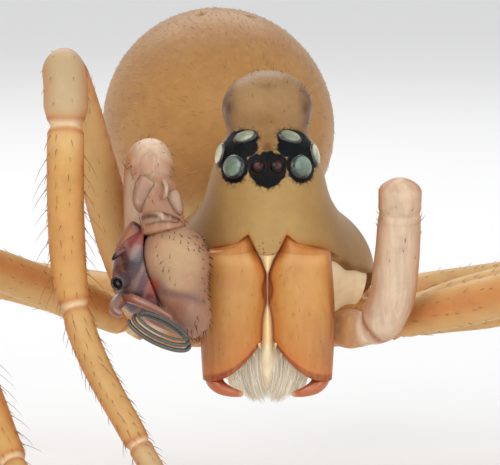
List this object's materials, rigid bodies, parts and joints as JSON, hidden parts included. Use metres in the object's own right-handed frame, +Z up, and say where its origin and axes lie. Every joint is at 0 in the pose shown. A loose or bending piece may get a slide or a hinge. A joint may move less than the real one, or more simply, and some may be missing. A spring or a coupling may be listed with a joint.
{
  "type": "male dwarf sheet-web spider",
  "caption": "Life-size still model of a male dwarf sheet-web spider standing on its legs, with a domed lobe over its eyes and a coiled palp organ.",
  "frame": {"origin": "centre of the bounding box's bottom face, on the floor that the feet stand on", "axes": "-Y is the way the spider faces, +X is towards its left side, +Z is up"},
  "size_m": [0.0046, 0.0044, 0.0016],
  "materials": {
    "carapace": "glossy olive tan cuticle, brown on the lobe and black round the eyes",
    "abdomen": "soft golden brown skin with a silky sheen",
    "underside": "pale yellow cuticle",
    "chelicera": "glossy amber cuticle with red-brown edges",
    "fang": "glossy red-brown horn",
    "eye": "clear, wet, greenish white",
    "eye_dark": "clear, wet, dark red-brown",
    "leg": "satin amber cuticle with orange edges",
    "palp": "satin pale pink cuticle",
    "bulb": "glossy dark purple-red",
    "embolus": "glossy slate grey"
  },
  "bodies": {
    "root": {"carapace": "carapace", "sternum": "underside", "labium": "underside", "abdomen": "abdomen", "spinnerets": "abdomen", "eye_front_side_left": "eye", "eye_rear_middle_left": "eye", "eye_rear_side_left": "eye", "eye_front_middle_left": "eye_dark", "maxilla_left": "underside", "chelicera_left": "chelicera", "fang_left": "fang", "palp_femur_left": "palp", "palp_patella_left": "palp", "leg_1_coxa_left": "leg", "leg_1_femur_left": "leg", "leg_1_patella_tibia_left": "leg", "leg_1_metatarsus_tarsus_left": "leg", "leg_2_coxa_left": "leg", "leg_2_femur_left": "leg", "leg_2_patella_tibia_left": "leg", "leg_2_metatarsus_tarsus_left": "leg", "leg_3_coxa_left": "leg", "leg_3_femur_left": "leg", "leg_3_patella_tibia_left": "leg", "leg_3_metatarsus_tarsus_left": "leg", "leg_4_coxa_left": "leg", "leg_4_femur_left": "leg", "leg_4_patella_tibia_left": "leg", "leg_4_metatarsus_tarsus_left": "leg", "eye_front_side_right": "eye", "eye_rear_middle_right": "eye", "eye_rear_side_right": "eye", "eye_front_middle_right": "eye_dark", "maxilla_right": "underside", "chelicera_right": "chelicera", "fang_right": "fang", "palp_femur_right": "palp", "palp_patella_right": "palp", "leg_1_coxa_right": "leg", "leg_1_femur_right": "leg", "leg_1_patella_tibia_right": "leg", "leg_1_metatarsus_tarsus_right": "leg", "leg_2_coxa_right": "leg", "leg_2_femur_right": "leg", "leg_2_patella_tibia_right": "leg", "leg_2_metatarsus_tarsus_right": "leg", "leg_3_coxa_right": "leg", "leg_3_femur_right": "leg", "leg_3_patella_tibia_right": "leg", "leg_3_metatarsus_tarsus_right": "leg", "leg_4_coxa_right": "leg", "leg_4_femur_right": "leg", "leg_4_patella_tibia_right": "leg", "leg_4_metatarsus_tarsus_right": "leg", "palp_tibia_right": "palp", "palp_cymbium_right": "palp", "palp_bulb_right": "bulb", "palp_embolus_right": "embolus"}
  },
  "joints": []
}
